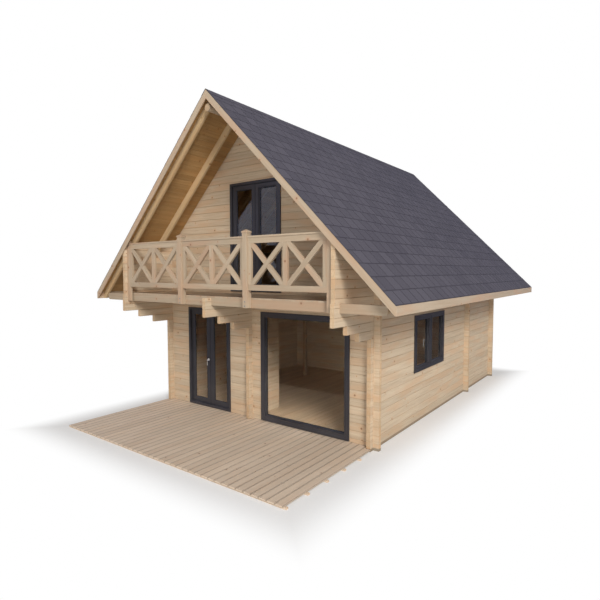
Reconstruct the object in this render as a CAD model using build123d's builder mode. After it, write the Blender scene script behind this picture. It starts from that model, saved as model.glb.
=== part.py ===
from math import sqrt
import os

from build123d import *

os.makedirs("parts", exist_ok=True)

# A two-storey log cabin with a terrace and a balcony under the front gable.
# The front faces -Y, +X is to the right, the ground is Z = 0 and the box is centred on X and Y.
# All sizes are in millimetres.

# Main sizes, to the outer faces of the log walls
house_width = 5000
house_depth = 6720
inner_wall_from_front = 4550
base_height = 45

# Logs
wall_thickness = 70
log_height = 135
log_groove = 8
log_end = 100

# Storeys, measured from the top of the base
storey_height = 2362.5
floor_board = 25
ground_board = 20
joist_width = 60
joist_depth = 120
joist_spacing = 640

# Roof
ridge_height = 5800
roof_half_width = 3420
front_overhang = 1180
rear_overhang = 580
shingle_thickness = 6
roof_board = 19
rafter_width = 45
rafter_depth = 120
rafter_spacing = 635
rafter_from_front = 255
rafter_from_rear = 115
rafter_clearance = 15
pole_radius = 60
pole_setback = 38
barge_width = 100
barge_thickness = 20
fascia_drop = 135
ridge_gap = 1
board_gap = 1

# Balcony
balcony_depth = 1170
wing_setback = 20
bracket_step = 345
bracket_steps = 3
beam_setback = 140
beam_end_setback = 184
beam_end_radius = 62
balcony_floor_board = 25
post_size = 100
post_top = 3440
post_cap = 116
post_cap_height = 18
post_point = 22
cap_taper = 60
rail_thickness = 45
rail_width = 90
end_upright = 67.5
brace_width = 80
hand_rail_height = 28
hand_rail_width = 70
bottom_rail_gap = 122
inner_post_spacing = 1587

# Terrace
deck_depth = 2320
deck_half_width = 2515
deck_board = 20
bearer_width = 45
bearer_spacing = 450
bearer_overhang = 30
bearer_setback = 20
deck_gap = 5

# Partition inside the big window, and the post behind it
partition_left = -155
partition_length = 810
post_x = -1410
post_from_front = 3550
inner_post_size = 90
inner_post_chamfer = 6

# Doors and windows: outer sizes of the frames
door_centre = -1281
door_width = 1220
door_height = 2050
door_bottom = 10
window_centre = 1102
window_width = 1920
side_window_from_front = 2354
side_window_width = 1540
side_window_height = 1075
side_window_bottom = 915
balcony_door_width = 1260
balcony_door_height = 2065
balcony_door_bottom = 2425
casing = 20
casing_thickness = 15
frame_face = 50
rebate = 15
stile = 95
leaf_thickness = 50
leaf_gap = 10
leaf_clearance = 5
window_face = 95
mullion = 150
glass_thickness = 20
frame_inside = 4
leaf_inside = 10
frame_clearance = 2

# Door handle
handle_height = 985
handle_inset = 45
rose_radius = 24
rose_thickness = 9
neck_radius = 9
neck_clearance = 0.5
neck_length = 48
grip_length = 125
grip_width = 18
grip_thickness = 14
grip_corner = 8.5

# Derived levels and planes
base = base_height
half_width = house_width / 2
front = -(house_depth + rear_overhang - deck_depth) / 2
rear = front + house_depth
inner_face = half_width - wall_thickness
floor_level = base + storey_height
loft_level = floor_level + floor_board
ridge = base + ridge_height
roof_front = front - front_overhang
roof_rear = rear + rear_overhang
shingle_drop = shingle_thickness * sqrt(2)
soffit_drop = (shingle_thickness + roof_board) * sqrt(2)
rafter_drop = soffit_drop + rafter_depth * sqrt(2)
fascia_bottom = ridge - roof_half_width - fascia_drop
inner_wall_y = front + inner_wall_from_front
cross_joint = log_height / 2
balcony_front = front - balcony_depth
beam_y = balcony_front + beam_setback
beam_bottom = floor_level - log_height
beam_middle = floor_level - log_height / 2
bracket_course = int(storey_height / log_height) - bracket_steps - 1
bracket_low = base + bracket_course * log_height
partition_middle = partition_left + wall_thickness / 2
board_front = roof_front + barge_thickness
board_rear = roof_rear - barge_thickness
board_side = roof_half_width - barge_thickness
door_bottom_level = base + door_bottom
opening_side = casing
opening_head = casing / 2
far = 2 * (house_depth + deck_depth)
corner = (Align.MIN, Align.MIN, Align.MIN)


def save(piece, name):
    # Label a finished piece and write it.
    piece.part.label = name
    export_step(piece.part, "parts/" + name + ".step")


def joints_between(low, high, first):
    # Heights of the joints between courses that lie inside a stretch of wall.
    count = int((high - first) / log_height) + 1
    heights = [first + course * log_height for course in range(count)]
    return [height for height in heights if low + log_groove < height < high - log_groove]


def stretches(low, high, crossings):
    # Parts of a wall between the walls that cross it, without the log ends outside the corners.
    edges = [low]
    for crossing in crossings:
        edges += [crossing, crossing + wall_thickness]
    edges.append(high)
    pairs = zip(edges[::2], edges[1::2])
    return [(start, end) for start, end in pairs if end - start > log_end]


def groove_x(face, span, heights):
    # V grooves in a face of a wall that runs along X, one at each joint between courses.
    edge = log_groove * sqrt(2)
    middle = (span[0] + span[1]) / 2
    with Locations(*[Location((middle, face, height), (45, 0, 0)) for height in heights]):
        Box(span[1] - span[0], edge, edge, mode=Mode.SUBTRACT)


def groove_y(face, span, heights):
    # The same in a face of a wall that runs along Y.
    edge = log_groove * sqrt(2)
    middle = (span[0] + span[1]) / 2
    with Locations(*[Location((face, middle, height), (0, 45, 0)) for height in heights]):
        Box(edge, span[1] - span[0], edge, mode=Mode.SUBTRACT)


def notch(x_low, x_high, y_low, y_high, low, high, first):
    # Half-lap notches where another wall's logs pass, one in each course of that wall.
    middle = ((x_low + x_high) / 2, (y_low + y_high) / 2)
    reach = log_height / 4
    count = int((high - first) / log_height) + 2
    heights = [first + course * log_height for course in range(count)]
    places = [(*middle, height) for height in heights if low - reach < height < high + reach]
    with Locations(*places):
        Box(x_high - x_low, y_high - y_low, 2 * reach, mode=Mode.SUBTRACT)


def cut_to_roof(drop=soffit_drop):
    # Take away what stands above the underside of the roof boards.
    with BuildSketch(Plane.XZ.offset(-far / 2)) as above:
        with BuildLine():
            Polyline(
                (0, ridge - drop),
                (far, ridge - drop - far),
                (far, far),
                (-far, far),
                (-far, ridge - drop - far),
                close=True,
            )
        make_face()
    extrude(above.sketch, amount=far, mode=Mode.SUBTRACT)


def rafter_places():
    # Y of the middle of each rafter pair: equal steps between the gable walls, the same steps outside them.
    first = front + rafter_from_front
    last = rear - rafter_from_rear
    bays = round((last - first) / rafter_spacing)
    step = (last - first) / bays
    spare = rafter_clearance + rafter_width / 2
    outside = int((first - board_front - spare) / step)
    behind = int((board_rear - spare - last) / step)
    return [first + place * step for place in range(-outside, bays + behind + 1)]


def rafter_row(side):
    # One row of rafters, from the ridge to the eave board, cut level at its foot.
    for place in rafter_places():
        with BuildSketch(Plane.XZ.offset(-place - rafter_width / 2)) as section:
            with BuildLine():
                Polyline(
                    (0, ridge - soffit_drop),
                    (side * board_side, ridge - soffit_drop - board_side),
                    (side * board_side, fascia_bottom),
                    (side * (ridge - rafter_drop - fascia_bottom), fascia_bottom),
                    (0, ridge - rafter_drop),
                    close=True,
                )
            make_face()
        extrude(section.sketch, amount=rafter_width)


def seat_rafters(side, y_low, y_high):
    # Slots in the top of a side wall where the rafters pass over it.
    bottom = ridge - half_width - rafter_drop
    height = 4 * rafter_depth
    rows = [place for place in rafter_places() if y_low < place < y_high]
    with Locations(*[(side * half_width, place, bottom + height / 2) for place in rows]):
        Box(3 * wall_thickness, rafter_width, height, mode=Mode.SUBTRACT)


def cross_wall(name, x_span, y_low, z_span, crossings, rear_face=False, under_roof=False, pole=False):
    # A log wall that runs along X. Its joints are half a course above those of the walls that cross it.
    low, high = z_span
    first = base + cross_joint
    with BuildPart() as wall:
        with Locations((x_span[0], y_low, low)):
            Box(x_span[1] - x_span[0], wall_thickness, high - low, align=corner)
        for crossing in crossings:
            top = high
            if crossing == partition_left:
                top = min(high, beam_middle)
            notch(
                crossing,
                crossing + wall_thickness,
                y_low,
                y_low + wall_thickness,
                low,
                top,
                first,
            )
        face = y_low + wall_thickness if rear_face else y_low
        for span in stretches(*x_span, crossings):
            groove_x(face, span, joints_between(low, high, first))
        if under_roof:
            cut_to_roof()
        if pole:
            with Locations(Location((0, y_low, pole_height), (90, 0, 0))):
                Cylinder(pole_radius, 4 * wall_thickness, mode=Mode.SUBTRACT)
    save(wall, name)


def long_wall(name, x_low, y_span, z_span, crossings, side=1, under_roof=True):
    # A log wall that runs along Y, with its outer face on the given side.
    low, high = z_span
    with BuildPart() as wall:
        with Locations((x_low, y_span[0], low)):
            Box(wall_thickness, y_span[1] - y_span[0], high - low, align=corner)
        for crossing in crossings:
            notch(
                x_low,
                x_low + wall_thickness,
                crossing,
                crossing + wall_thickness,
                low,
                high,
                base,
            )
        face = x_low + wall_thickness if side > 0 else x_low
        for span in stretches(*y_span, crossings):
            groove_y(face, span, joints_between(low, high, base))
        if under_roof:
            cut_to_roof()
            seat_rafters(side, *y_span)
    save(wall, name)


pole_height = ridge - rafter_drop - pole_radius * sqrt(2)
left_crossing = -half_width
right_crossing = inner_face
wall_ends = half_width + log_end

# Front wall, split beside and over the door and the big window
door_left = door_centre - door_width / 2 + opening_side
door_right = door_centre + door_width / 2 - opening_side
window_left = window_centre - window_width / 2 + opening_side
window_right = window_centre + window_width / 2 - opening_side
head_level = door_bottom_level + door_height - opening_head
gable_door_side = balcony_door_width / 2 - opening_side
gable_door_sill = base + balcony_door_bottom + opening_head
gable_door_head = base + balcony_door_bottom + balcony_door_height - opening_head

low_part = (base, head_level)
beside_door = (gable_door_sill, gable_door_head)
ends = (left_crossing, right_crossing)
cross_wall("front_wall_left", (-wall_ends, door_left), front, low_part, [left_crossing])
cross_wall("front_wall_middle", (door_right, window_left), front, low_part, [partition_left])
cross_wall("front_wall_right", (window_right, wall_ends), front, low_part, [right_crossing])
cross_wall(
    "front_wall_head",
    (-wall_ends, wall_ends),
    front,
    (head_level, gable_door_sill),
    [left_crossing, partition_left, right_crossing],
)

# Front gable, split beside and over the balcony door
cross_wall(
    "gable_wall_left",
    (-wall_ends, -gable_door_side),
    front,
    beside_door,
    [left_crossing],
    under_roof=True,
)
cross_wall(
    "gable_wall_right",
    (gable_door_side, wall_ends),
    front,
    beside_door,
    [right_crossing],
    under_roof=True,
)
cross_wall(
    "gable_wall_top",
    (-half_width, half_width),
    front,
    (gable_door_head, ridge),
    [],
    under_roof=True,
    pole=True,
)

# Rear wall with its gable, in one piece
cross_wall(
    "rear_wall",
    (-wall_ends, wall_ends),
    rear - wall_thickness,
    (base, ridge),
    ends,
    rear_face=True,
    under_roof=True,
    pole=True,
)

# Inner wall, which shows outside by its crossing log ends
inner_wall_top = floor_level - joist_depth
cross_wall("inner_wall", (-wall_ends, wall_ends), inner_wall_y, (base, inner_wall_top), ends)

# Side walls. The right one is split round its window.
wall_top = ridge - inner_face
side_crossings = [front, inner_wall_y, rear - wall_thickness]
wall_front = front - log_end
wall_rear = rear + log_end
window_front = front + side_window_from_front - side_window_width / 2 + opening_side
window_rear = front + side_window_from_front + side_window_width / 2 - opening_side
window_sill = base + side_window_bottom + opening_head
window_head = base + side_window_bottom + side_window_height - opening_head
full_height = (base, wall_top)
at_window = (window_front, window_rear)

long_wall("left_wall", -half_width, (wall_front, wall_rear), full_height, side_crossings, side=-1)
long_wall("right_wall_front", inner_face, (wall_front, window_front), full_height, [front])
long_wall("right_wall_rear", inner_face, (window_rear, wall_rear), full_height, side_crossings[1:])
long_wall("right_wall_sill", inner_face, at_window, (base, window_sill), [], under_roof=False)
long_wall("right_wall_head", inner_face, at_window, (window_head, wall_top), [])

# Partition stub behind the front wall
stub = (wall_front, front + partition_length)
long_wall("partition_wall", partition_left, stub, (base, bracket_low), [front], under_roof=False)


def bracket(name, x_low, top, side=0):
    # Stepped log ends that carry the balcony: each course reaches one step further out.
    across = x_low + wall_thickness / 2
    with BuildPart() as piece:
        with Locations((x_low, balcony_front, bracket_low)):
            Box(wall_thickness, wall_front - balcony_front, top - bracket_low, align=corner)
        for step in range(1, bracket_steps):
            reach = step * bracket_step
            level = bracket_low + (bracket_steps - step - 0.5) * log_height
            with Locations((across, balcony_front + reach / 2, level)):
                Box(wall_thickness, reach, log_height, mode=Mode.SUBTRACT)
        with Locations((across, beam_y + wall_thickness / 2, beam_middle)):
            Box(wall_thickness, wall_thickness, log_height / 2, mode=Mode.SUBTRACT)
        for face in (x_low, x_low + wall_thickness):
            groove_y(face, (balcony_front, wall_front), joints_between(bracket_low, top, base))
        if side:
            # Above the floor the wing wall stands a little back, and ends under the roof boards.
            with Locations((across, balcony_front, floor_level + far / 2)):
                Box(wall_thickness, 2 * wing_setback, far, mode=Mode.SUBTRACT)
            cut_to_roof()
            seat_rafters(side, balcony_front, wall_front)
        else:
            # The logs run on through the front wall to the end of the partition.
            with Locations((x_low, wall_front, bracket_low)):
                Box(wall_thickness, stub[1] - wall_front, inner_wall_top - bracket_low, align=corner)
            notch(
                x_low,
                x_low + wall_thickness,
                front,
                front + wall_thickness,
                bracket_low,
                floor_level,
                base,
            )
    save(piece, name)


bracket("left_wing_wall", -half_width, wall_top, -1)
bracket("middle_bracket", partition_left, floor_level)
bracket("right_wing_wall", inner_face, wall_top, 1)

# Base beams on the ground, under every wall
with BuildPart() as base_beams:
    with BuildSketch(Plane.XY):
        with Locations((0, (front + rear) / 2)):
            Rectangle(house_width, house_depth)
            Rectangle(house_width - 2 * wall_thickness, house_depth - 2 * wall_thickness, mode=Mode.SUBTRACT)
        with Locations((0, inner_wall_y + wall_thickness / 2)):
            Rectangle(house_width + 2 * log_end, wall_thickness)
        for wall_y in (front + wall_thickness / 2, rear - wall_thickness / 2):
            with Locations((0, wall_y)):
                Rectangle(house_width + 2 * log_end, wall_thickness)
        for wall_x in (-half_width + wall_thickness / 2, half_width - wall_thickness / 2):
            with Locations((wall_x, (front + rear) / 2)):
                Rectangle(wall_thickness, house_depth + 2 * log_end)
        with Locations((partition_middle, front + (partition_length - log_end) / 2)):
            Rectangle(wall_thickness, partition_length + log_end)
    extrude(amount=base_height)
save(base_beams, "base_beams")

# Ground floor of boards, cut round the inner walls
with BuildPart() as ground_floor:
    with BuildSketch(Plane.XY.offset(base)):
        with Locations((0, (front + rear) / 2)):
            Rectangle(2 * inner_face, house_depth - 2 * wall_thickness)
        with Locations((0, inner_wall_y + wall_thickness / 2)):
            Rectangle(house_width, wall_thickness, mode=Mode.SUBTRACT)
        with Locations((partition_middle, front + partition_length / 2)):
            Rectangle(wall_thickness, partition_length, mode=Mode.SUBTRACT)
    extrude(amount=ground_board)
save(ground_floor, "ground_floor")

# Loft floor: boards on joists that run from front to back
first_joist = post_x - int((inner_face + post_x - joist_width) / joist_spacing) * joist_spacing
joist_count = int((inner_face - joist_width - first_joist) / joist_spacing) + 1
with BuildPart() as loft_floor:
    with BuildSketch(Plane.XY.offset(floor_level)):
        with Locations((0, (front + rear) / 2)):
            Rectangle(2 * inner_face, house_depth - 2 * wall_thickness)
    extrude(amount=floor_board)
    with BuildSketch(Plane.XY.offset(floor_level)):
        with Locations((0, (front + rear) / 2)):
            for joist in range(joist_count):
                with Locations((first_joist + joist * joist_spacing, 0)):
                    Rectangle(joist_width, house_depth - 2 * wall_thickness)
    extrude(amount=-joist_depth)
save(loft_floor, "loft_floor")

with BuildPart() as inner_post:
    with BuildSketch(Plane.XY.offset(base + ground_board)):
        with Locations((post_x, front + post_from_front)):
            Rectangle(inner_post_size, inner_post_size)
    extrude(amount=storey_height - joist_depth - ground_board)
    chamfer(inner_post.edges().filter_by(Axis.Z), inner_post_chamfer)
save(inner_post, "inner_post")

# Rafters
with BuildPart() as left_rafters:
    rafter_row(-1)
save(left_rafters, "left_rafters")

with BuildPart() as right_rafters:
    rafter_row(1)
save(right_rafters, "right_rafters")

with BuildPart() as ridge_pole:
    with BuildSketch(Plane.XZ.offset(-(roof_rear - pole_setback))):
        with Locations((0, pole_height)):
            Circle(pole_radius)
    extrude(amount=roof_rear - roof_front - 2 * pole_setback)
save(ridge_pole, "ridge_pole")


def slope(side, upper, lower, inner, outer):
    # Section through one slope of a roof layer, between two depths under the roof surface.
    return [
        (side * inner, ridge - upper - inner),
        (side * outer, ridge - upper - outer),
        (side * outer, ridge - lower - outer),
        (side * inner, ridge - lower - inner),
    ]


with BuildPart() as roof_boards:
    with BuildSketch(Plane.XZ.offset(-board_rear)):
        for side in (-1, 1):
            with BuildLine():
                Polyline(*slope(side, shingle_drop, soffit_drop, ridge_gap, board_side), close=True)
            make_face()
    extrude(amount=board_rear - board_front)
save(roof_boards, "roof_boards")

with BuildPart() as shingles:
    with BuildSketch(Plane.XZ.offset(-roof_rear)):
        for side in (-1, 1):
            with BuildLine():
                Polyline(*slope(side, 0, shingle_drop, 0, roof_half_width), close=True)
            make_face()
    extrude(amount=roof_rear - roof_front)
save(shingles, "shingles")

# Barge boards on the sloping edges, cut plumb at the ridge and level at the foot
barge_plumb = barge_width * sqrt(2)
with BuildPart() as barge_boards:
    for face in (roof_front + barge_thickness, roof_rear):
        with BuildSketch(Plane.XZ.offset(-face)):
            for side in (-1, 1):
                with BuildLine():
                    Polyline(
                        (side * ridge_gap, ridge - shingle_drop - ridge_gap),
                        (side * roof_half_width, ridge - shingle_drop - roof_half_width),
                        (side * roof_half_width, fascia_bottom),
                        (side * (ridge - shingle_drop - barge_plumb - fascia_bottom), fascia_bottom),
                        (side * ridge_gap, ridge - shingle_drop - barge_plumb - ridge_gap),
                        close=True,
                    )
                make_face()
        extrude(amount=barge_thickness)
save(barge_boards, "barge_boards")

with BuildPart() as eave_boards:
    with BuildSketch(Plane.XZ.offset(-board_rear + board_gap)):
        for side in (-1, 1):
            with BuildLine():
                Polyline(
                    (side * board_side, fascia_bottom),
                    (side * roof_half_width, fascia_bottom),
                    (side * roof_half_width, ridge - shingle_drop - roof_half_width),
                    (side * board_side, ridge - shingle_drop - board_side),
                    close=True,
                )
            make_face()
    extrude(amount=board_rear - board_front - 2 * board_gap)
save(eave_boards, "eave_boards")

# Balcony beam: one log across the whole front, with rounded ends under the eaves
beam_half = roof_half_width - beam_end_setback
lap = log_height / 4
with BuildPart() as balcony_beam:
    with BuildSketch(Plane.XZ.offset(-(beam_y + wall_thickness))):
        with Locations((0, beam_middle)):
            Rectangle(2 * beam_half, log_height)
        fillet(vertices().group_by(Axis.X)[0], beam_end_radius)
        fillet(vertices().group_by(Axis.X)[-1], beam_end_radius)
    extrude(amount=wall_thickness)
    for crossing in (left_crossing, partition_left, right_crossing):
        for level in (beam_bottom + lap / 2, floor_level - lap / 2):
            with Locations((crossing + wall_thickness / 2, beam_y + wall_thickness / 2, level)):
                Box(wall_thickness, wall_thickness, lap, mode=Mode.SUBTRACT)
save(balcony_beam, "balcony_beam")

# Balcony floor between the wing walls
with BuildPart() as balcony_floor:
    with BuildSketch(Plane.XY.offset(floor_level)):
        with Locations((0, (beam_y + front) / 2)):
            Rectangle(2 * inner_face, front - beam_y)
    extrude(amount=balcony_floor_board)
save(balcony_floor, "balcony_floor")

# Railing: four posts in front of the beam, three panels between them
post_y = beam_y - post_size / 2
inner_posts = [-inner_post_spacing / 2, inner_post_spacing / 2]
end_posts = [-inner_face + post_size / 2, inner_face - post_size / 2]
with BuildPart() as railing_posts:
    with BuildSketch(Plane.XY.offset(beam_bottom)):
        for place in inner_posts:
            with Locations((place, post_y)):
                Rectangle(post_size, post_size)
    extrude(amount=base + post_top - beam_bottom)
    with BuildSketch(Plane.XY.offset(base + post_top)):
        for place in inner_posts:
            with Locations((place, post_y)):
                Rectangle(post_cap, post_cap)
    extrude(amount=post_cap_height)
    with BuildSketch(Plane.XY.offset(base + post_top + post_cap_height)):
        for place in inner_posts:
            with Locations((place, post_y)):
                Rectangle(post_cap, post_cap)
    extrude(amount=post_point, taper=cap_taper)
    with BuildSketch(Plane.XY.offset(beam_bottom)):
        for place in end_posts:
            with Locations((place, post_y)):
                Rectangle(post_size, rail_thickness)
    extrude(amount=base + post_top - beam_bottom)
    cut_to_roof()
save(railing_posts, "railing_posts")

bottom_rail = loft_level + bottom_rail_gap
top_rail = base + post_top - post_size
rail_low = top_rail - rail_width
with BuildPart() as railing_panels:
    spans = [
        (end_posts[0] + post_size / 2, inner_posts[0] - post_size / 2),
        (inner_posts[0] + post_size / 2, inner_posts[1] - post_size / 2),
        (inner_posts[1] + post_size / 2, end_posts[1] - post_size / 2),
    ]
    panel_plane = Plane.XZ.offset(-(post_y + rail_thickness / 2))
    for low, high in spans:
        width = high - low
        middle = (low + high) / 2
        cell = (width - rail_width - 2 * end_upright) / 2
        rise = rail_low - bottom_rail - rail_width
        with BuildSketch(panel_plane):
            for level in (bottom_rail + rail_width / 2, top_rail - rail_width / 2):
                with Locations((middle, level)):
                    Rectangle(width, rail_width)
            for place, upright in (
                (low + end_upright / 2, end_upright),
                (middle, rail_width),
                (high - end_upright / 2, end_upright),
            ):
                with Locations((place, (bottom_rail + top_rail) / 2)):
                    Rectangle(upright, top_rail - bottom_rail)
            for half in (-1, 1):
                centre = middle + half * (rail_width + cell) / 2
                near = centre - cell / 2
                away = centre + cell / 2
                level = bottom_rail + rail_width + rise / 2
                for turn in (-1, 1):
                    with BuildLine():
                        Line((near, level - turn * rise / 2), (away, level + turn * rise / 2))
                    trace(line_width=brace_width)
        extrude(amount=rail_thickness)
        with Locations((middle, post_y, top_rail + hand_rail_height / 2)):
            Box(width, hand_rail_width, hand_rail_height)
    cut_to_roof()
save(railing_panels, "railing_panels")

# Terrace: boards on bearers that run across and stick out at the right and left
deck_front = front - deck_depth
with BuildPart() as terrace_boards:
    with BuildSketch(Plane.XY.offset(base - deck_board)):
        with Locations((0, (deck_front + front - deck_gap) / 2)):
            Rectangle(2 * deck_half_width, front - deck_gap - deck_front)
        notch_depth = log_end + deck_gap
        notch_y = front - notch_depth / 2
        for place in (-half_width + wall_thickness / 2, partition_middle, half_width - wall_thickness / 2):
            with Locations((place, notch_y)):
                Rectangle(wall_thickness + 2 * deck_gap, notch_depth, mode=Mode.SUBTRACT)
        for side in (-1, 1):
            with Locations((side * deck_half_width, notch_y)):
                Rectangle(2 * (deck_half_width - half_width + deck_gap), notch_depth, mode=Mode.SUBTRACT)
    extrude(amount=deck_board)
save(terrace_boards, "terrace_boards")

with BuildPart() as terrace_bearers:
    with BuildSketch(Plane.XY):
        count = int((deck_depth - bearer_setback - log_end) / bearer_spacing) + 1
        for bearer in range(count):
            with Locations((0, deck_front + bearer_setback + bearer_width / 2 + bearer * bearer_spacing)):
                Rectangle(2 * (deck_half_width + bearer_overhang), bearer_width)
    extrude(amount=base_height - deck_board)
save(terrace_bearers, "terrace_bearers")


def ring(plane, centre, outer, inner, depth):
    # A flat rectangular ring, extruded along the plane's normal.
    with BuildSketch(plane) as section:
        with Locations(centre):
            Rectangle(*outer)
            Rectangle(*inner, mode=Mode.SUBTRACT)
    extrude(section.sketch, amount=depth)


# Front door: casing, frame with a rebate, two leaves that open inwards
door_middle = (door_centre, door_bottom_level + door_height / 2)
door_lip = (door_width - 2 * frame_face, door_height - 2 * frame_face)
door_rebate = (door_lip[0] + 2 * rebate, door_lip[1] + 2 * rebate)
door_body = (
    door_width - 2 * (opening_side + frame_clearance),
    door_height - 2 * opening_head - 2 * frame_clearance,
)
leaf_front = front + wall_thickness + leaf_inside - leaf_thickness
lip_back = leaf_front - leaf_clearance
frame_back = front + wall_thickness + frame_inside


def door_frame_piece(middle, outer, lip, deep, body):
    # A door frame: casing on the logs, lip in front of the leaves, rebate round them.
    with BuildPart() as frame:
        ring(Plane.XZ.offset(-front), middle, outer, lip, casing_thickness)
        ring(Plane.XZ.offset(-lip_back), middle, body, lip, lip_back - front)
        ring(Plane.XZ.offset(-frame_back), middle, body, deep, frame_back - lip_back)
    return frame


door_outer = (door_width, door_height)
door_frame = door_frame_piece(door_middle, door_outer, door_lip, door_rebate, door_body)
save(door_frame, "door_frame")

leaf_width = (door_rebate[0] - 2 * leaf_clearance - leaf_gap) / 2
leaf_height = door_rebate[1] - 2 * leaf_clearance
leaf_back = leaf_front + leaf_thickness
leaf_glass = (leaf_width - 2 * stile, leaf_height - 2 * stile)
glass_back = leaf_front + (leaf_thickness + glass_thickness) / 2
handle_x = door_centre - leaf_gap / 2 - handle_inset
handle_z = base + handle_height
for word, side in (("left", -1), ("right", 1)):
    leaf_centre = (door_centre + side * (leaf_width + leaf_gap) / 2, door_middle[1])
    with BuildPart() as leaf:
        ring(Plane.XZ.offset(-leaf_back), leaf_centre, (leaf_width, leaf_height), leaf_glass, leaf_thickness)
        if side < 0:
            # The round rose of the handle is fixed to this leaf.
            with BuildSketch(Plane.XZ.offset(-leaf_front)):
                with Locations((handle_x, handle_z)):
                    Circle(rose_radius)
                    Circle(neck_radius + neck_clearance, mode=Mode.SUBTRACT)
            extrude(amount=rose_thickness)
    save(leaf, word + "_door_leaf")
    with BuildPart() as pane:
        with BuildSketch(Plane.XZ.offset(-glass_back)):
            with Locations(leaf_centre):
                Rectangle(*leaf_glass)
        extrude(amount=glass_thickness)
    save(pane, word + "_door_glass")

# Lever of the door handle, which hangs down and turns in the rose
with BuildPart() as door_handle:
    with BuildSketch(Plane.XZ.offset(-(leaf_front - neck_clearance))):
        with Locations((handle_x, handle_z)):
            Circle(neck_radius)
    extrude(amount=neck_length)
    with BuildSketch(Plane.XZ.offset(-(leaf_front - neck_clearance - neck_length + grip_thickness))):
        with Locations((handle_x, handle_z - grip_length / 2 + grip_width / 2)):
            RectangleRounded(grip_width, grip_length, grip_corner)
    extrude(amount=grip_thickness)
save(door_handle, "door_handle")

# Picture window beside the door
window_middle = (window_centre, door_middle[1])
window_body = (window_width - 2 * (opening_side + frame_clearance), door_body[1])
window_light = (window_width - 2 * window_face, door_height - 2 * window_face)
with BuildPart() as window_frame:
    ring(Plane.XZ.offset(-front), window_middle, (window_width, door_height), window_light, casing_thickness)
    ring(Plane.XZ.offset(-frame_back), window_middle, window_body, window_light, frame_back - front)
save(window_frame, "picture_window_frame")

# Side window with two lights
side_middle = (front + side_window_from_front, base + side_window_bottom + side_window_height / 2)
side_body = (
    side_window_width - 2 * (opening_side + frame_clearance),
    side_window_height - 2 * (opening_head + frame_clearance),
)
light_width = (side_window_width - 2 * window_face - mullion) / 2
light_height = side_window_height - 2 * window_face
light_centres = [side_middle[0] - (mullion + light_width) / 2, side_middle[0] + (mullion + light_width) / 2]
with BuildPart() as side_frame:
    for start, outer, depth in (
        (half_width, (side_window_width, side_window_height), casing_thickness),
        (inner_face - frame_inside, side_body, wall_thickness + frame_inside),
    ):
        with BuildSketch(Plane.YZ.offset(start)):
            with Locations(side_middle):
                Rectangle(*outer)
            for centre in light_centres:
                with Locations((centre, side_middle[1])):
                    Rectangle(light_width, light_height, mode=Mode.SUBTRACT)
        extrude(amount=depth)
save(side_frame, "side_window_frame")

# Balcony door, closed and fixed
upper_middle = (0, base + balcony_door_bottom + balcony_door_height / 2)
upper_outer = (balcony_door_width, balcony_door_height)
upper_body = (
    balcony_door_width - 2 * (opening_side + frame_clearance),
    balcony_door_height - 2 * (opening_head + frame_clearance),
)
upper_leaf = (balcony_door_width - 2 * frame_face, balcony_door_height - 2 * frame_face)
upper_light = (upper_leaf[0] / 2 - 2 * stile + rebate, upper_leaf[1] - 2 * stile + 2 * rebate)
upper_centres = [-(upper_light[0] + 2 * stile) / 2, (upper_light[0] + 2 * stile) / 2]
with BuildPart() as upper_frame:
    ring(Plane.XZ.offset(-front), upper_middle, upper_outer, upper_leaf, casing_thickness)
    ring(Plane.XZ.offset(-lip_back), upper_middle, upper_body, upper_leaf, lip_back - front)
    with BuildSketch(Plane.XZ.offset(-frame_back)):
        with Locations(upper_middle):
            Rectangle(*upper_body)
        for centre in upper_centres:
            with Locations((centre, upper_middle[1])):
                Rectangle(*upper_light, mode=Mode.SUBTRACT)
    extrude(amount=frame_back - lip_back)
save(upper_frame, "balcony_door_frame")

# Panes that do not open
with BuildPart() as window_glass:
    with BuildSketch(Plane.XZ.offset(-glass_back)):
        with Locations(window_middle):
            Rectangle(*window_light)
        for centre in upper_centres:
            with Locations((centre, upper_middle[1])):
                Rectangle(*upper_light)
    extrude(amount=glass_thickness)
    with BuildSketch(Plane.YZ.offset(half_width - wall_thickness / 2 - glass_thickness / 2)):
        for centre in light_centres:
            with Locations((centre, side_middle[1])):
                Rectangle(light_width, light_height)
    extrude(amount=glass_thickness)
save(window_glass, "window_glass")
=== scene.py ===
from functools import partial
import math
import random

import bmesh
import bpy
from mathutils import Matrix, Vector


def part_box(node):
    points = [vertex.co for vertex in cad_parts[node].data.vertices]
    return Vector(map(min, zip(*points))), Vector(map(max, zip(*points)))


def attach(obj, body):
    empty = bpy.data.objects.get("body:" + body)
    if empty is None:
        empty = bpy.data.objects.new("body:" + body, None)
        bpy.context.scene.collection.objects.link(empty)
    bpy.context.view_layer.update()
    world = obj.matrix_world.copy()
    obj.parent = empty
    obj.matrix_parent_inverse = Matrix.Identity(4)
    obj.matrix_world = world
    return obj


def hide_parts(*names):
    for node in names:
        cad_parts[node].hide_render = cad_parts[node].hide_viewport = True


# Log cabin, in metres. Ground at Z = 0, the front faces -Y, +X is to the right.

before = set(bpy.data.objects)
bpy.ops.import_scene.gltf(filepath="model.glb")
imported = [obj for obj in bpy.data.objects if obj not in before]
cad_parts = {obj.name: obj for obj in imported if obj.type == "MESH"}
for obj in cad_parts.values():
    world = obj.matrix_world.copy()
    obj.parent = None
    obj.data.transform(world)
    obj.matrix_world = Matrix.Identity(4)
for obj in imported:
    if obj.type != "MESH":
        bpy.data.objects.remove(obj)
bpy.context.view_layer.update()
cabin = "cabin"
dice = random.Random(11)

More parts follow.
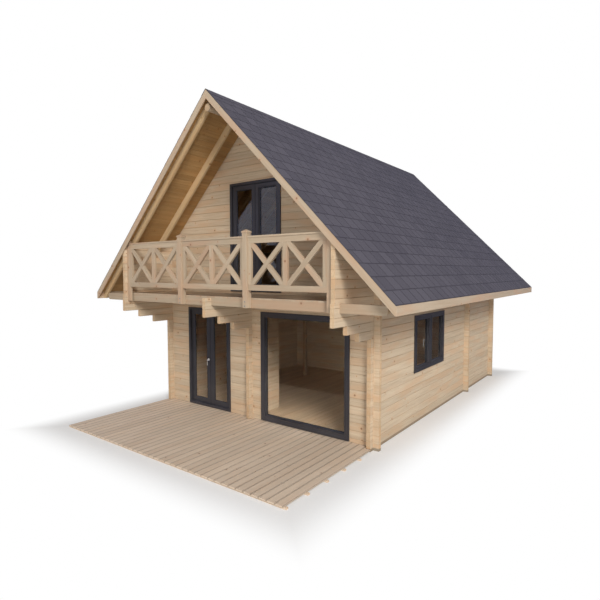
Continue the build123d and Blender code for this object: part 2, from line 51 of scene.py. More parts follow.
# Planes that many pieces share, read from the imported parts
wallLow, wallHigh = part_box("left_wall")
wallThickness = wallHigh.x - wallLow.x
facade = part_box("front_wall_left")[0].y
houseSide = -wallLow.x
roofLow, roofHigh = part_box("shingles")
boardsLow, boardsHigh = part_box("roof_boards")
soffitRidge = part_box("left_rafters")[1].z
ridgeTop = roofHigh.z
coveringDrop = ridgeTop - boardsHigh.z - 0.001
deckLow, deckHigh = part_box("terrace_boards")
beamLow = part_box("balcony_beam")[0]
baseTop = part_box("base_beams")[1].z
logCourse = 0.135
slopeRoot = math.sqrt(0.5)
print("frame read")


# Nodes: helpers that put a value or a link into a socket. The tree is the one that the sockets belong to.

def feed(socket, value):
    if isinstance(value, bpy.types.NodeSocket):
        socket.id_data.links.new(value, socket)
    elif value is not None:
        socket.default_value = value


def addNode(kind, values, keys=None, **settings):
    tree = next(value.id_data for value in values if isinstance(value, bpy.types.NodeSocket))
    node = tree.nodes.new("ShaderNode" + kind)
    for label, setting in settings.items():
        setattr(node, label, setting)
    for key, value in zip(keys or range(len(values)), values):
        feed(node.inputs[key], value)
    return node.outputs


def calc(operation, *values):
    return addNode("Math", values, operation=operation)[0]


add, sub, mul, div, mulAdd, absolute = (
    partial(calc, word) for word in ("ADD", "SUBTRACT", "MULTIPLY", "DIVIDE", "MULTIPLY_ADD", "ABSOLUTE"))


def vectorCalc(operation, *values, out="Vector"):
    return addNode("VectorMath", values, operation=operation)[out]


def split(vector):
    return addNode("SeparateXYZ", [vector])


def join(x, y, z):
    return addNode("CombineXYZ", (x, y, z))[0]


def noise(vector, scale, detail=2.0, rough=0.5, out="Fac"):
    stretched = vectorCalc("MULTIPLY", vector, scale)
    return addNode("TexNoise", (stretched, 1.0, detail, rough), ("Vector", "Scale", "Detail", "Roughness"))[out]


def fade(value, low, high, start=0.0, end=1.0):
    keys = ("Value", "From Min", "From Max", "To Min", "To Max")
    return addNode("MapRange", (value, low, high, start, end), keys, interpolation_type="SMOOTHSTEP")["Result"]


def blend(factor, first, second, mode="MIX"):
    return addNode("Mix", (factor, first, second), (0, 6, 7), data_type="RGBA", blend_type=mode)[2]


def newGroup(name, inputs, outputs, family="ShaderNodeTree"):
    # Sockets by name, with their kind or the number that they start from
    tree = bpy.data.node_groups.new(name, family)
    for way, sockets in (("INPUT", inputs), ("OUTPUT", outputs)):
        for label, form in sockets.items():
            number = isinstance(form, float)
            kind = "Float" if number else form
            socket = tree.interface.new_socket(label, in_out=way, socket_type="NodeSocket" + kind)
            if number:
                socket.default_value = form
    return tree, tree.nodes.new("NodeGroupInput").outputs, tree.nodes.new("NodeGroupOutput").inputs


def useGroup(group, **values):
    return addNode("Group", values.values(), values.keys(), node_tree=group)


def spruceGroup():
    # Solid spruce: growth rings round a wandering pith, fine fibre, long streaks and round knots
    inputs = {"Vector": "Vector", "Tone": 0.5, "PithAcross": 0.09, "PithDeep": 0.06, "RingWidth": 0.006,
              "Light": "Color", "Dark": "Color", "Warm": "Color", "Contrast": 0.6, "Knots": 0.5, "ToneRange": 0.16,
              "Edge": 0.0}
    tree, given, result = newGroup("spruce", inputs, {"Color": "Color", "Height": "Float"})
    place = given["Vector"]
    x, y, z = split(place)
    drift = split(noise(place, (0.5, 1.7, 1.7), out="Color"))
    acrossRing = add(sub(y, given["PithAcross"]), mulAdd(drift[0], 0.07, -0.035))
    deepRing = add(sub(z, given["PithDeep"]), mulAdd(drift[1], 0.07, -0.035))
    radius = calc("SQRT", add(calc("POWER", acrossRing, 2.0), calc("POWER", deepRing, 2.0)))

    # Knots run through the depth of the wood, so they are placed in the plane of its face
    knotScale = (1.7, 6.5, 1.0)
    spot = vectorCalc("MULTIPLY", join(x, y, 0.0), knotScale)
    cells = addNode("TexVoronoi", (spot, 1.0), ("Vector", "Scale"), voronoi_dimensions="2D")
    offset = vectorCalc("SUBTRACT", spot, cells["Position"])
    distance = vectorCalc("LENGTH", vectorCalc("DIVIDE", offset, knotScale), out="Value")
    luck = split(cells["Color"])
    knotSize = mul(calc("LESS_THAN", luck[0], given["Knots"]), mulAdd(luck[1], 0.013, 0.006))
    away = div(distance, calc("MAXIMUM", knotSize, 0.0001))
    heart = fade(away, 0.55, 1.25, 1.0, 0.0)
    halo = fade(away, 1.0, 4.0, 1.0, 0.0)

    saw = calc("FRACT", div(mulAdd(halo, 0.006, radius), given["RingWidth"]))
    late = mul(fade(saw, 0.3, 0.9), fade(saw, 0.93, 1.0, 1.0, 0.0))
    streak = noise(place, (1.1, 24.0, 24.0), detail=4.0, rough=0.6)
    fibre = noise(place, (5.0, 420.0, 420.0))
    patch = noise(place, (0.9, 5.0, 5.0))
    figure = add(mul(late, 0.4), add(mul(fade(streak, 0.35, 0.7), 0.45), mul(fibre, 0.25)))
    colour = blend(mul(figure, given["Contrast"]), given["Light"], given["Dark"])
    colour = blend(mul(fade(patch, 0.44, 0.66), 0.7), colour, given["Warm"])
    colour = blend(mul(halo, 0.7), colour, given["Warm"])
    colour = blend(mul(heart, 0.72), colour, (0.20, 0.085, 0.040, 1))
    # Brightness drops by the edge amount: painted shade near the board edges
    bright = sub(mulAdd(sub(given["Tone"], 0.5), given["ToneRange"], 1.0), given["Edge"])
    feed(result["Color"], vectorCalc("SCALE", colour, None, None, bright))
    height = sub(mul(fibre, 0.6), mul(late, 0.4))
    feed(result["Height"], add(height, mul(heart, 0.5)))
    return tree


def courseGroup():
    # Cuts a wall into its logs: a place inside the log, a tone for each log, and the way to the nearest joint
    inputs = {"Vector": "Vector", "Course": logCourse, "First": 0.0, "Face": 0.0}
    tree, given, result = newGroup("courses", inputs, {"Vector": "Vector", "Tone": "Float", "Seam": "Float"})
    x, y, z = split(given["Vector"])
    height = sub(z, given["First"])
    index = calc("FLOOR", div(height, given["Course"]))
    inside = sub(height, mul(add(index, 0.5), given["Course"]))
    luck = split(addNode("TexWhiteNoise", [join(index, given["Face"], 0.37)], ["Vector"])["Color"])
    along = mulAdd(luck[0], 60.0, x)
    across = mulAdd(luck[1], 0.06, add(inside, -0.03))
    feed(result["Vector"], join(along, across, sub(y, given["Face"])))
    feed(result["Tone"], luck[2])
    feed(result["Seam"], sub(mul(given["Course"], 0.5), absolute(inside)))
    return tree


spruce = spruceGroup()
courses = courseGroup()


def newMaterial(name):
    material = bpy.data.materials.new(name)
    material.use_nodes = True
    return material, material.node_tree, material.node_tree.nodes["Principled BSDF"]


def coat(shader, colour, rough, shine=0.5, metallic=0.0, bump=None):
    # Bump is a height, a strength and a distance
    values = {"Base Color": colour, "Roughness": rough, "Specular IOR Level": shine, "Metallic": metallic}
    for label, value in values.items():
        feed(shader.inputs[label], value)
    if bump:
        feed(shader.inputs["Normal"], addNode("Bump", bump, ("Height", "Strength", "Distance"))["Normal"])


def coordsOf(tree, out="Object"):
    return tree.nodes.new("ShaderNodeTexCoord").outputs[out]


def carried(tree, name, out="Fac"):
    node = tree.nodes.new("ShaderNodeAttribute")
    node.attribute_name = name
    return node.outputs[out]


def show(tree, factor, first, second):
    # Puts a mix of two shaders on the surface
    feed(tree.nodes["Material Output"].inputs["Surface"], addNode("MixShader", (factor, first, second))[0])


woodLooks = {
    "log": {"Light": (0.665, 0.55, 0.405, 1), "Dark": (0.45, 0.33, 0.215, 1), "Warm": (0.61, 0.42, 0.265, 1),
            "Contrast": 0.8, "Knots": 0.5, "RingWidth": 0.007, "ToneRange": 0.13},
    "timber": {"Light": (0.50, 0.405, 0.295, 1), "Dark": (0.36, 0.265, 0.175, 1), "Warm": (0.48, 0.315, 0.205, 1),
               "Contrast": 0.8, "Knots": 0.62, "RingWidth": 0.005},
    # The rafter and soffit looks are darker, more orange copies of the wood: painted shade and warm bounce light for
    # under the roof
    "rafter": {"Light": (0.60, 0.44, 0.26, 1), "Dark": (0.43, 0.285, 0.145, 1), "Warm": (0.54, 0.35, 0.18, 1),
               "Contrast": 0.7, "Knots": 0.35, "RingWidth": 0.005},
    "soffit": {"Light": (0.50, 0.31, 0.135, 1), "Dark": (0.33, 0.18, 0.065, 1), "Warm": (0.44, 0.24, 0.09, 1),
               "Contrast": 0.95, "Knots": 0.4, "RingWidth": 0.006, "ToneRange": 0.2},
    "deck": {"Light": (0.74, 0.605, 0.475, 1), "Dark": (0.55, 0.435, 0.325, 1), "Warm": (0.66, 0.51, 0.38, 1),
             "Contrast": 0.7, "Knots": 0.3, "RingWidth": 0.006, "ToneRange": 0.12},
    "floor": {"Light": (0.62, 0.48, 0.33, 1), "Dark": (0.46, 0.33, 0.205, 1), "Warm": (0.55, 0.39, 0.245, 1),
              "Contrast": 0.6, "Knots": 0.25, "RingWidth": 0.006},
    "base": {"Light": (0.34, 0.29, 0.23, 1), "Dark": (0.22, 0.18, 0.13, 1), "Warm": (0.29, 0.23, 0.16, 1),
             "Contrast": 0.8, "Knots": 0.3, "RingWidth": 0.006},
}


def logMaterial(name, look, alongX, face, first, course=logCourse):
    # Object coordinates turned so that X runs along the log, then cut into courses
    material, tree, shader = newMaterial(name)
    x, y, z = split(coordsOf(tree))
    turned = join(x, y, z) if alongX else join(y, x, z)
    # End grain drinks more light and is warmer
    facing = absolute(split(coordsOf(tree, "Normal"))[0 if alongX else 1])
    endGrain = fade(facing, 0.7, 0.85, 0.0, 0.5)
    cut = useGroup(courses, Vector=turned, Course=course, First=first, Face=face)
    wood = useGroup(spruce, Vector=cut["Vector"], Tone=cut["Tone"], PithAcross=0.012, PithDeep=0.01, **look)
    # Painted shade darkens the wood along the joints between the logs
    jointShade = fade(cut["Seam"], 0.001, 0.0085, 0.24, 0.0)
    colour = blend(endGrain, wood["Color"], (0.97, 0.80, 0.60, 1), "MULTIPLY")
    coat(shader, blend(jointShade, colour, (0.23, 0.145, 0.08, 1)), 0.62, 0.3, bump=(wood["Height"], 0.35, 0.0015))
    return material


def timberMaterial(name, look, rough=0.6, edge=0.0):
    # Sawn pieces carry their own place in the wood and their own tone as attributes
    material, tree, shader = newMaterial(name)
    # Painted shade darkens each board towards its long edges, as strongly as the edge argument says
    shadedEdge = fade(absolute(carried(tree, "across")), 0.76, 0.96, 0.0, edge)
    wood = useGroup(spruce, Vector=carried(tree, "grainPlace", "Vector"), Tone=carried(tree, "tone"), Edge=shadedEdge,
                    **woodLooks[look])
    coat(shader, wood["Color"], rough, 0.3, bump=(wood["Height"], 0.35, 0.0015))
    return material


def paintMaterial():
    # Satin anthracite on wood: a faint grain shows through
    material, tree, shader = newMaterial("anthracitePaint")
    place = coordsOf(tree)
    grain = noise(place, (90.0, 90.0, 90.0), detail=3.0)
    cloud = noise(place, (1.5, 1.5, 1.5), detail=3.0)
    colour = blend(fade(cloud, 0.35, 0.7), (0.035, 0.033, 0.037, 1), (0.047, 0.045, 0.050, 1))
    colour = blend(fade(grain, 0.45, 0.75, 0.0, 0.25), colour, (0.070, 0.068, 0.074, 1))
    coat(shader, colour, fade(grain, 0.3, 0.7, 0.36, 0.46), bump=(grain, 0.12, 0.0006))
    return material


def rubberMaterial():
    material, tree, shader = newMaterial("gasketRubber")
    cloud = noise(coordsOf(tree), (60, 60, 60))
    coat(shader, blend(cloud, (0.008, 0.008, 0.009, 1), (0.016, 0.016, 0.018, 1)), 0.7)
    return material


def paneMaterial():
    # Clear pane with a faint smoky tint; lamps pass straight through it
    material, tree, shader = newMaterial("pane")
    coat(shader, (0.91, 0.895, 0.87, 1), 0.0)
    feed(shader.inputs["Transmission Weight"], 1.0)
    feed(shader.inputs["IOR"], 1.45)
    shadow = tree.nodes.new("ShaderNodeLightPath").outputs["Is Shadow Ray"]
    show(tree, shadow, shader.outputs[0], tree.nodes.new("ShaderNodeBsdfTransparent").outputs[0])
    return material


def metalMaterial(name, dull, bright, metallic):
    material, tree, shader = newMaterial(name)
    brushed = noise(coordsOf(tree), (600.0, 600.0, 30.0))
    colour = blend(brushed, (dull, dull, dull, 1), (bright, bright, bright, 1))
    coat(shader, colour, fade(brushed, 0.3, 0.7, 0.26, 0.38), metallic=metallic)
    return material


def shingleMaterial():
    # Mineral granules on bitumen; each tab has its own tone, and painted shadow darkens its edges
    material, tree, shader = newMaterial("shingleGranules")
    place = coordsOf(tree)
    granule = noise(place, (420.0, 420.0, 420.0), detail=1.0)
    weather = noise(place, (1.1, 1.1, 1.1), detail=4.0)
    colour = blend(carried(tree, "tone"), (0.067, 0.062, 0.076, 1), (0.094, 0.087, 0.105, 1))
    colour = blend(fade(granule, 0.4, 0.7, 0.0, 0.5), colour, (0.135, 0.125, 0.145, 1))
    colour = blend(fade(granule, 0.32, 0.42, 0.5, 0.0), colour, (0.04, 0.037, 0.045, 1))
    colour = blend(fade(weather, 0.35, 0.7, 0.0, 0.22), colour, (0.100, 0.094, 0.108, 1))
    # Painted shadow: a dark band along each tab's bottom and sides and at each ridge cap's lower end
    colour = blend(carried(tree, "shadowBand"), colour, (0.032, 0.030, 0.037, 1))
    coat(shader, colour, 0.9, 0.25, bump=(granule, 0.5, 0.0015))
    return material


timber = timberMaterial("planedTimber", "timber")
soffit = timberMaterial("shadedSoffitBoards", "soffit", edge=0.05)
rafterWood = timberMaterial("shadedRafterTimber", "rafter")
decking = timberMaterial("terraceDecking", "deck", rough=0.7, edge=0.34)
flooring = timberMaterial("floorBoards", "floor", rough=0.5, edge=0.1)
paint = paintMaterial()
rubber = rubberMaterial()
pane = paneMaterial()
metal = metalMaterial("satinMetal", 0.78, 0.88, 0.35)
zinc = metalMaterial("zincMetal", 0.26, 0.36, 0.6)
granules = shingleMaterial()
print("materials made")


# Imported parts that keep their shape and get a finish

def dress(nodes, material):
    for name in nodes.split():
        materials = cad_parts[name].data.materials
        materials.clear()
        materials.append(material)


def middleOf(node, axis):
    low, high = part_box(node)
    return (low[axis] + high[axis]) / 2


halfUp = baseTop + logCourse / 2
leftMiddle = middleOf("left_wall", 0)
stubMiddle = middleOf("partition_wall", 0)
# Nodes, material, look, whether the logs run along X, middle of the wall, first joint, and the way to the next
for nodes, name, look, *cut in (
        ("front_wall_left front_wall_middle front_wall_right front_wall_head gable_wall_left gable_wall_right "
         "gable_wall_top", "frontLogs", "log", True, facade + wallThickness / 2, halfUp),
        ("inner_wall", "innerLogs", "log", True, middleOf("inner_wall", 1), halfUp),
        ("rear_wall", "rearLogs", "log", True, middleOf("rear_wall", 1), halfUp),
        ("left_wall left_wing_wall", "leftLogs", "log", False, leftMiddle, baseTop),
        ("right_wall_front right_wall_rear right_wall_sill right_wall_head right_wing_wall", "rightLogs", "log",
         False, -leftMiddle, baseTop),
        ("partition_wall middle_bracket", "partitionLogs", "log", False, stubMiddle, baseTop),
        ("balcony_beam", "beamLog", "timber", True, middleOf("balcony_beam", 1), beamLow.z - 0.4, 1.0),
        ("ridge_pole", "poleWood", "timber", False, 0.0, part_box("ridge_pole")[0].z - 0.4, 1.0),
        ("base_beams", "baseTimber", "base", True, 0.0, -0.02, 0.1),
        ("terrace_bearers", "bearerTimber", "deck", True, 0.0, -0.02, 0.1),
        ("loft_floor", "loftTimber", "floor", False, 0.0, 1.9, 1.0),
        ("inner_post", "postTimber", "timber", False, 0.0, 0.0, 3.0)):
    dress(nodes, logMaterial(name, woodLooks[look], *cut))
dress("door_frame left_door_leaf right_door_leaf picture_window_frame side_window_frame balcony_door_frame", paint)
dress("left_door_glass right_door_glass window_glass", pane)
dress("door_handle", metal)
print("packed parts dressed")


# Making pieces

def addObject(name, data):
    made = bpy.data.objects.new(name, data)
    bpy.context.scene.collection.objects.link(made)
    return made


def keep(name, mesh, material, slot, replaced=(), rider=cabin, ease=0.0):
    piece = addObject(name, mesh)
    mesh.materials.clear()
    mesh.materials.append(material)
    if ease:
        bevel = piece.modifiers.new("easedEdges", "BEVEL")
        bevel.width = ease
        bevel.segments = 2
        bevel.limit_method = "ANGLE"
        bevel.angle_limit = math.radians(40)
        bevel.harden_normals = True
    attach(piece, rider)
    if replaced:
        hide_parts(*replaced)
    return piece


def meshFrom(name, shape):
    bmesh.ops.recalc_face_normals(shape, faces=shape.faces)
    mesh = bpy.data.meshes.new(name)
    shape.to_mesh(mesh)
    shape.free()
    return mesh


def finish(name, shape, *settings, **more):
    return keep(name, meshFrom(name, shape), *settings, **more)


def skin(shape, loops, closed=False, capped=False, smooth=False):
    # Quads between neighbouring loops of points, and round to the first one where closed
    for first, second in zip(loops, loops[1:] + loops[:1] * closed):
        for here in range(len(first)):
            face = shape.faces.new([first[here - 1], first[here], second[here], second[here - 1]])
            face.smooth = smooth
    if capped:
        shape.faces.new(loops[0][::-1])
        shape.faces.new(loops[-1])


def circle(count, radius=1.0):
    angles = [step * math.tau / count for step in range(count)]
    return [(radius * math.cos(angle), radius * math.sin(angle)) for angle in angles]


def startSticks():
    sticks = bmesh.new()
    sticks.verts.layers.float_vector.new("grainPlace")
    sticks.verts.layers.float.new("tone")
    sticks.verts.layers.float.new("across")
    return sticks


def addStick(sticks, start, end, width, depth, across, cuts=()):
    # One straight timber. Cuts are (point, normal): what lies on the normal's side is taken away.
    start, end = Vector(start), Vector(end)
    along = (end - start).normalized()
    across = Vector(across)
    across = (across - along * across.dot(along)).normalized()
    deep = along.cross(across)
    stick = startSticks()
    place = stick.verts.layers.float_vector["grainPlace"]
    tone = stick.verts.layers.float["tone"]
    edge = stick.verts.layers.float["across"]
    shift = Vector((dice.uniform(0, 80), dice.uniform(-0.03, 0.03), dice.uniform(-0.03, 0.03)))
    ownTone = dice.random()
    corners = []
    for step, point in enumerate((start, end)):
        for side, face in ((-1, -1), (-1, 1), (1, -1), (1, 1)):
            local = Vector((step * (end - start).length, side * width / 2, face * depth / 2))
            vert = stick.verts.new(point + across * local.y + deep * local.z)
            vert[place] = (local if width >= depth else local.xzy) + shift
            vert[tone] = ownTone
            vert[edge] = side
            corners.append(vert)
    # The numbers of the corners round each face
    for loop in ("0132", "4675", "0264", "1573", "0451", "2376"):
        stick.faces.new([corners[int(number)] for number in loop])
    for point, normal in cuts:
        everything = [*stick.verts, *stick.edges, *stick.faces]
        made = bmesh.ops.bisect_plane(stick, geom=everything, plane_co=Vector(point), plane_no=Vector(normal),
                                      clear_outer=True)
        edges = [item for item in made["geom_cut"] if isinstance(item, bmesh.types.BMEdge)]
        if edges:
            bmesh.ops.contextual_create(stick, geom=edges)
    spare = meshFrom("spare", stick)
    sticks.from_mesh(spare)
    bpy.data.meshes.remove(spare)


# Geometry Nodes: helpers for the trees

def newTree(name, **inputs):
    return newGroup(name, {"Geometry": "Geometry", **inputs}, {"Geometry": "Geometry"}, "GeometryNodeTree")


def gnode(tree, kind, sockets, out=0, **settings):
    node = tree.nodes.new(kind)
    for label, value in settings.items():
        setattr(node, label, value)
    for label, value in sockets.items():
        feed(node.inputs[label], value)
    return node.outputs[out]


def store(tree, geometry, name, value, kind="FLOAT", domain="POINT"):
    return gnode(tree, "GeometryNodeStoreNamedAttribute", {"Geometry": geometry, "Name": name, "Value": value},
                 data_type=kind, domain=domain)


def realize(tree, geometry):
    return gnode(tree, "GeometryNodeRealizeInstances", {"Geometry": geometry})


def line(tree, count, step, start=(0, 0, 0)):
    return gnode(tree, "GeometryNodeMeshLine", {"Count": count, "Start Location": start, "Offset": step})


def randomOf(tree, low, high, seed):
    node = tree.nodes.new("FunctionNodeRandomValue")
    turned = isinstance(low, tuple)
    node.data_type = "FLOAT_VECTOR" if turned else "FLOAT"
    least, most, out = (0, 1, 0) if turned else (2, 3, 1)
    node.inputs[least].default_value = low
    node.inputs[most].default_value = high
    feed(node.inputs["Seed"], seed)
    return node.outputs[out]


def copies(tree, points, piece, turn=None):
    return gnode(tree, "GeometryNodeInstanceOnPoints", {"Points": points, "Instance": piece, "Rotation": turn})


def layOut(tree, points, piece, seed):
    # The piece on every point, each copy with its own tone
    return store(tree, copies(tree, points, piece), "tone", randomOf(tree, 0.0, 1.0, seed), domain="INSTANCE")


def finishTree(tree, result, geometry, material):
    feed(result["Geometry"], gnode(tree, "GeometryNodeSetMaterial", {"Geometry": geometry, "Material": material}))
    return tree


def grow(name, tree, place, seedMesh=None, **values):
    # Runs a tree on its own host object and returns the plain mesh, put in its place
    host = addObject(name + "Host", seedMesh or bpy.data.meshes.new(name + "Host"))
    modifier = host.modifiers.new("grow", "NODES")
    modifier.node_group = tree
    known = {item.name: item.identifier for item in tree.interface.items_tree if item.in_out == "INPUT"}
    for label, value in values.items():
        modifier[known[label]] = value
    graph = bpy.context.evaluated_depsgraph_get()
    mesh = bpy.data.meshes.new_from_object(host.evaluated_get(graph), preserve_all_data_layers=True, depsgraph=graph)
    host.modifiers.remove(modifier)
    bpy.data.objects.remove(host)
    mesh.name = name
    mesh.transform(place)
    return mesh


def boardTree():
    # A row of equal boards side by side along X, each Length long along Y
    tree, given, result = newTree("boardRow", Count="Int", Seed="Int", Pitch="Float", Width="Float", Length="Float",
                                  Thickness="Float", Finish="Material")
    count, seed, pitch, width, length, thick, coating = given[1:8]
    board = gnode(tree, "GeometryNodeMeshCube", {"Size": join(width, length, thick)})
    x, y, z = split(gnode(tree, "GeometryNodeInputPosition", {}))
    board = store(tree, board, "grainPlace", join(y, x, z), "FLOAT_VECTOR")
    board = store(tree, board, "across", div(x, mul(width, 0.5)))
    first = join(mul(pitch, 0.5), mul(length, 0.5), mul(thick, 0.5))
    laid = layOut(tree, line(tree, count, join(pitch, 0, 0), first), board, seed)
    shift = randomOf(tree, (0.0, -0.04, -0.04), (70.0, 0.04, 0.04), seed)
    whole = realize(tree, store(tree, laid, "shift", shift, "FLOAT_VECTOR", "INSTANCE"))
    own, shift = (gnode(tree, "GeometryNodeInputNamedAttribute", {"Name": name}, data_type="FLOAT_VECTOR")
                  for name in ("grainPlace", "shift"))
    whole = store(tree, whole, "grainPlace", vectorCalc("ADD", own, shift), "FLOAT_VECTOR")
    return finishTree(tree, result, whole, coating)


boardRow = boardTree()


def layBoards(name, rowLow, rowHigh, count, gap, material, slot, replaced=(), frameOf=None, seed=1, ease=0.002):
    # Boards along Y that fill the box between two corners, or a box laid in another frame
    span = Vector(rowHigh) - Vector(rowLow)
    pitch = span.x / count
    mesh = grow(name, boardRow, (frameOf or Matrix()) @ Matrix.Translation(rowLow), Count=count, Pitch=pitch,
                Width=pitch - gap, Length=span.y, Thickness=span.z, Seed=seed, Finish=material)
    return keep(name, mesh, material, slot, replaced, ease=ease)


# How many boards there are and how far apart they lie
boards = {"balcony": (50, 0.003), "ground": (40, 0.0015), "soffit": (44, 0.0015)}
# Terrace boards that meet a log end are notched one by one, the others are laid in rows
terrace = {"count": 38, "gap": 0.009, "notch": 0.105, "play": 0.005, "least": 0.004, "edge": 0.02}
deckPitch = (deckHigh.x - deckLow.x) / terrace["count"]
deckDepth = deckHigh.z - deckLow.z
deckMiddle = deckLow.z + deckDepth / 2
notchStart = deckHigh.y - terrace["notch"]
notchHalf = wallThickness / 2 + terrace["play"]
sticks = startSticks()
notched = set()
for centre in (leftMiddle, stubMiddle, -leftMiddle):
    lowEdge, highEdge = centre - notchHalf, centre + notchHalf
    for index in range(terrace["count"]):
        left = deckLow.x + index * deckPitch + terrace["gap"] / 2
        right = left + deckPitch - terrace["gap"]
        if right < lowEdge or left > highEdge:
            continue
        notched.add(index)
        middle = (left + right) / 2
        addStick(sticks, (middle, deckLow.y, deckMiddle), (middle, notchStart, deckMiddle), right - left, deckDepth,
                 (1, 0, 0))
        for start, end in ((left, lowEdge), (highEdge, right)):
            middle = (start + end) / 2
            if end - start > terrace["least"] and abs(middle) < -deckLow.x - terrace["edge"]:
                addStick(sticks, (middle, notchStart, deckMiddle), (middle, deckHigh.y, deckMiddle), end - start,
                         deckDepth, (1, 0, 0))
finish("notchedBoards", sticks, decking, "deck_wood", ease=0.0015)
runs = []
for index in range(terrace["count"]):
    if index in notched:
        continue
    if runs and runs[-1][1] == index:
        runs[-1][1] = index + 1
    else:
        runs.append([index, index + 1])
for number, (first, last) in enumerate(runs):
    layBoards("terraceBoards" + "ABC"[number], (deckLow.x + first * deckPitch, deckLow.y, deckLow.z),
              (deckLow.x + last * deckPitch, deckHigh.y, deckHigh.z), last - first, terrace["gap"], decking,
              "deck_wood", ["terrace_boards"] if number == 0 else (), seed=3 + number, ease=0.003)
layBoards("balconyBoards", *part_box("balcony_floor"), *boards["balcony"], timber, "log_wood", ["balcony_floor"], seed=5)
layBoards("groundBoards", *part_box("ground_floor"), *boards["ground"], flooring, "floor_wood", ["ground_floor"], seed=7)


def slopeWays(side):
    # Down the slope and out of the roof
    return Vector((side * slopeRoot, 0, -slopeRoot)), Vector((side * slopeRoot, 0, slopeRoot))


def slopeFrame(side, y):
    # Local X runs down the slope, Y along the ridge, Z out of the roof
    down, out = slopeWays(side)
    turn = Matrix((down, out.cross(down), out)).transposed().to_4x4()
    return Matrix.Translation((0, y, ridgeTop)) @ turn


coverThick = coveringDrop * slopeRoot
boardThick = (ridgeTop - soffitRidge) * slopeRoot - coverThick
for word, side in (("left", -1), ("right", 1)):
    start = boardsLow.y if side > 0 else boardsHigh.y
    layBoards(word + "RoofBoards", (0, 0, -coverThick - boardThick),
              (boardsHigh.x / slopeRoot, boardsHigh.y - boardsLow.y, -coverThick), *boards["soffit"], soffit,
              "roof_wood", ["roof_boards"] if side > 0 else (), frameOf=slopeFrame(side, start), seed=9 + side)
print("boards laid")


# Rafters, barge boards and eave boards
rafters = {"width": 0.045, "depth": 0.120, "spacing": 0.635, "gap": 0.0005, "spare": 0.2}
barge = {"width": 0.100, "thick": 0.020, "below": 0.003}
eaveLow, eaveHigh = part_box("eave_boards")
bargeLow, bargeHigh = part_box("barge_boards")
raftLow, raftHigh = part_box("right_rafters")
raftCount = int(round((raftHigh.y - raftLow.y - rafters["width"]) / rafters["spacing"])) + 1


def addSloping(sticks, places, drop, reach, width, depth):
    # Timbers down both slopes, cut plumb at the ridge and at the foot and level at the eave
    for side in (-1, 1):
        slope = Vector((side, 0, -1))
        for y in places:
            top = Vector((0, y, ridgeTop - drop))
            cuts = [((side * rafters["gap"], y, 0), (-side, 0, 0)), ((side * reach, y, 0), (side, 0, 0)),
                    ((0, y, eaveLow.z), (0, 0, -1))]
            end = top + slope * (reach + rafters["spare"])
            addStick(sticks, top - slope * rafters["spare"], end, width, depth, (0, 1, 0), cuts)


sticks = startSticks()
raftPlaces = [raftLow.y + rafters["width"] / 2 + place * rafters["spacing"] for place in range(raftCount)]
raftDrop = ridgeTop - raftHigh.z + rafters["depth"] / slopeRoot / 2
addSloping(sticks, raftPlaces, raftDrop, raftHigh.x, rafters["width"], rafters["depth"])
finish("rafters", sticks, rafterWood, "roof_wood", ["left_rafters", "right_rafters"], ease=0.003)

sticks = startSticks()
thick = barge["thick"]
bargePlaces = (bargeLow.y + thick / 2, bargeHigh.y - thick / 2)
bargeDrop = ridgeTop - bargeHigh.z + barge["below"] + barge["width"] / slopeRoot / 2
addSloping(sticks, bargePlaces, bargeDrop, bargeHigh.x, thick, barge["width"])
finish("bargeBoards", sticks, timber, "log_wood", ["barge_boards"], ease=0.003)

sticks = startSticks()
for side in (-1, 1):
    x, z = side * (eaveHigh.x - thick / 2), (eaveLow.z + eaveHigh.z) / 2
    skew = ((side * eaveHigh.x, 0, eaveHigh.z - thick), (side, 0, 1))
    addStick(sticks, (x, eaveLow.y, z), (x, eaveHigh.y, z), thick, eaveHigh.z - eaveLow.z, (1, 0, 0), [skew])
finish("eaveBoards", sticks, timber, "log_wood", ["eave_boards"], ease=0.003)
print("roof timbers made")


# Shingles: square tabs with a slot between them, each course half a tab along from the one under it
# Among these are the widths of the painted shadow along each tab's bottom and sides
shingle = {"tabs": 34, "exposure": 0.2528, "slot": 0.008, "thick": 0.0024, "shadowBand": 0.020, "sideShadowBand": 0.004,
           "rise": 0.0032, "seed": 21}
roofLength = roofHigh.y - roofLow.y
coverLength = roofHigh.x / slopeRoot
tabWidth = roofLength / shingle["tabs"]


def tabMesh():
    # One unit of a course: a strip of full width with a square tab below it
    reach = shingle["exposure"]
    half = tabWidth / 2
    edge = half - shingle["slot"] / 2
    shadedEdge = edge - shingle["sideShadowBand"]
    end = 2 * reach
    top = end - shingle["shadowBand"]
    outline = [(-half, 0), (-half, reach), (-edge, reach), (-edge, end), (edge, end), (edge, reach), (half, reach),
               (half, 0)]
    inner = [(-half, 0), (-half, reach), (-shadedEdge, reach), (-shadedEdge, top), (shadedEdge, top), (shadedEdge, reach), (half, reach),
             (half, 0)]
    tab = bmesh.new()
    # Outline vertices of the tab carry 1 for the painted shadow along its bottom and sides, the inset ones 0
    shadowBand = tab.verts.layers.float.new("shadowBand")
    lows, mids, tops = [], [], []
    for (u, v), (a, b) in zip(outline, inner):
        lift = shingle["thick"] + shingle["rise"] * v / end
        lows.append(tab.verts.new((v, u, lift - shingle["thick"])))
        mids.append(tab.verts.new((v, u, lift)))
        lows[-1][shadowBand] = mids[-1][shadowBand] = 1.0 if v > reach * 0.99 and abs(u) < half * 0.99 else 0.0
        tops.append(mids[-1] if (a, b) == (u, v) else tab.verts.new((b, a, lift)))
    skin(tab, [lows, mids])
    tab.faces.new(tops)
    tab.faces.new(lows[::-1])
    for here in range(len(outline)):
        ring = list(dict.fromkeys([mids[here - 1], mids[here], tops[here], tops[here - 1]]))
        if len(ring) > 2:
            tab.faces.new(ring)
    return meshFrom("tab", tab)


